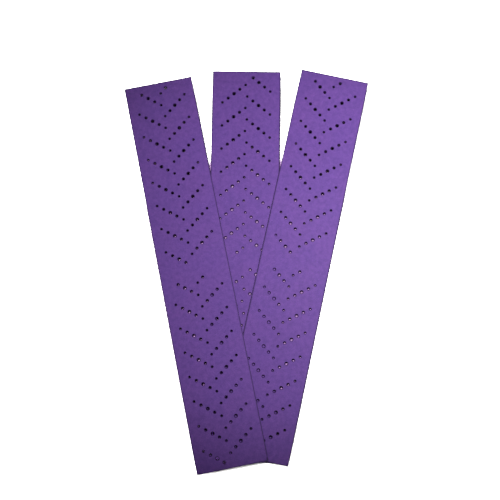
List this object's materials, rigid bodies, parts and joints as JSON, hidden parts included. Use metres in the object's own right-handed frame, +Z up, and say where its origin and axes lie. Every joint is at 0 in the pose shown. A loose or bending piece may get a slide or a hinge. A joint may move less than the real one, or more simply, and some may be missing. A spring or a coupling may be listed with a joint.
{
  "type": "set of perforated sanding strips",
  "caption": "Flat hook-and-loop abrasive strips with dust holes punched in rows of chevrons, loosely fanned from a stack that swivels near one end.",
  "frame": {"origin": "centre of the lowest strip's underside, on the surface that the stack lies on", "axes": "+Z up, out of the working faces; +Y along the lowest strip, towards the open end of the fan; +X across it, towards the strip fanned to the right"},
  "size_m": [0.2503, 0.4111, 0.0039],
  "materials": {
    "loop_fabric": "brushed nylon loop pile, matte",
    "adhesive": "clear laminating adhesive, matte",
    "film_backing": "smooth polyester film, satin",
    "make_coat": "dark tinted resin, satin",
    "grain_coat": "fine mineral grain in tinted resin, matte"
  },
  "bodies": {
    "centre_strip": {"centre_loop_fabric": "loop_fabric", "centre_adhesive": "adhesive", "centre_film_backing": "film_backing", "centre_make_coat": "make_coat", "centre_grain_coat": "grain_coat"},
    "right_strip": {"right_loop_fabric": "loop_fabric", "right_adhesive": "adhesive", "right_film_backing": "film_backing", "right_make_coat": "make_coat", "right_grain_coat": "grain_coat"},
    "left_strip": {"left_loop_fabric": "loop_fabric", "left_adhesive": "adhesive", "left_film_backing": "film_backing", "left_make_coat": "make_coat", "left_grain_coat": "grain_coat"}
  },
  "joints": [
    {"name": "right_swivel", "type": "hinge", "parent": "centre_strip", "child": "right_strip", "pos_m": [0.023, -0.244, 0.00195], "axis": [0, 0, 1], "range_deg": [-15, 11.5]},
    {"name": "left_swivel", "type": "hinge", "parent": "centre_strip", "child": "left_strip", "pos_m": [0.023, -0.244, 0.0033], "axis": [0, 0, 1], "range_deg": [-12.3, 15]}
  ]
}
